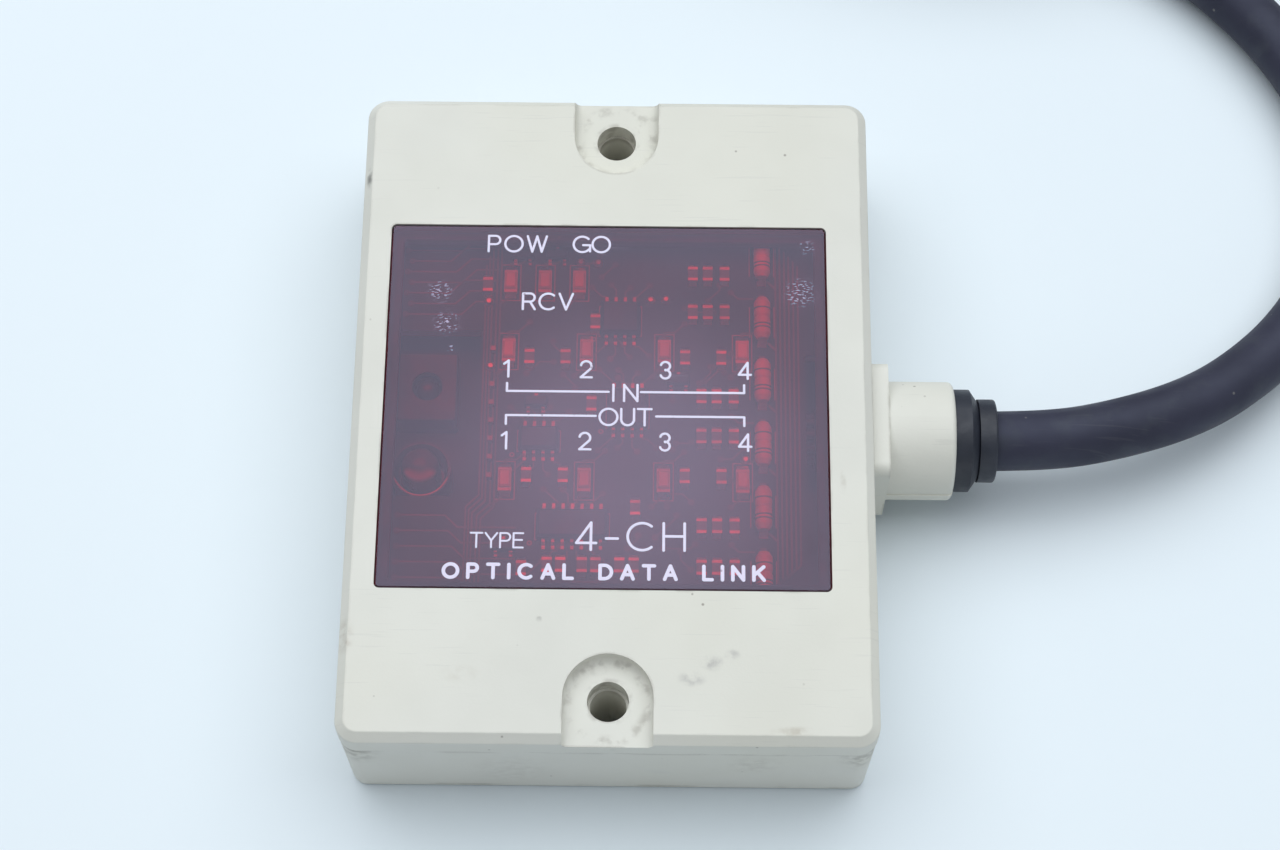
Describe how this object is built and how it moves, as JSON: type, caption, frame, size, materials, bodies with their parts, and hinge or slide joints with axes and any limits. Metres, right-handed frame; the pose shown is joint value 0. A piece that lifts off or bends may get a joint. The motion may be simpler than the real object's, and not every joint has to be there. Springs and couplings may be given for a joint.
{
  "type": "optical data link module",
  "caption": "Flat light-grey plastic module with a tinted signal window, indicator lamps behind it, a mounting hole at each end and a side cable in a rubber gland.",
  "frame": {"origin": "centre of the rear mounting face, midway between the two mounting holes", "axes": "+Z out of the signal window along the mounting screws, +Y towards the top of the legend along the line of holes, +X out of the cable gland"},
  "size_m": [0.1392, 0.2384, 0.0248],
  "materials": {
    "cover_plastic": "fine satin moulded finish, lightly scuffed",
    "case_plastic": "fine satin moulded finish",
    "seal_rubber": "matt",
    "steel_screw": "zinc plated",
    "label_film": "satin foil, blank",
    "filter_acrylic": "polished dark visible-blocking filter",
    "adhesive_tape": "matt",
    "legend_ink": "screen printed",
    "circuit_board": "solder mask over copper tracks",
    "lamp_body": "white ceramic-filled plastic",
    "lamp_lens": "clear resin",
    "chip_ceramic": "glazed ceramic",
    "solder": "bright solder",
    "resistor_body": "lacquered",
    "resistor_band": "painted",
    "chip_epoxy": "moulded epoxy",
    "lead_tin": "tinned",
    "capacitor_can": "drawn can on a black foot",
    "coupler_epoxy": "moulded epoxy",
    "shield_steel": "tin plate",
    "lens_plastic": "clear moulded resin",
    "holder_plastic": "moulded",
    "pin_brass": "plated",
    "connector_nylon": "natural nylon",
    "core_insulation": "PVC in twelve colours",
    "clamp_nylon": "nylon",
    "cable_jacket": "smooth flexible PVC with a dull sheen",
    "grommet_rubber": "moulded rubber"
  },
  "bodies": {
    "root": {"front_cover": "cover_plastic", "rear_case": "case_plastic", "case_gasket": "seal_rubber", "case_screws": "steel_screw", "blank_label": "label_film", "window_filter": "filter_acrylic", "window_adhesive": "adhesive_tape", "window_legend": "legend_ink", "main_board": "circuit_board", "board_screws": "steel_screw", "status_leds": "lamp_body", "input_leds": "lamp_body", "output_leds": "lamp_body", "led_lenses": "lamp_lens", "chip_resistors": "chip_ceramic", "chip_terminals": "solder", "melf_resistors": "resistor_body", "resistor_bands": "resistor_band", "logic_chips": "chip_epoxy", "chip_leads": "lead_tin", "transistors": "chip_epoxy", "transistor_leads": "lead_tin", "solder_joints": "solder", "electrolytic_capacitors": "capacitor_can", "optocouplers": "coupler_epoxy", "optocoupler_leads": "lead_tin", "voltage_regulator": "chip_epoxy", "transceiver_board": "circuit_board", "receiver_can": "shield_steel", "receiver_lens": "lens_plastic", "emitter_led": "lens_plastic", "emitter_holder": "holder_plastic", "link_pins": "pin_brass", "wire_header": "connector_nylon", "wire_plug": "connector_nylon", "core_wires": "core_insulation", "cable_clamp": "clamp_nylon", "cable_entry": "cable_jacket", "cable_grommet": "grommet_rubber", "cable": "cable_jacket", "cable_coil": "cable_jacket", "flying_leads": "core_insulation"}
  },
  "joints": []
}
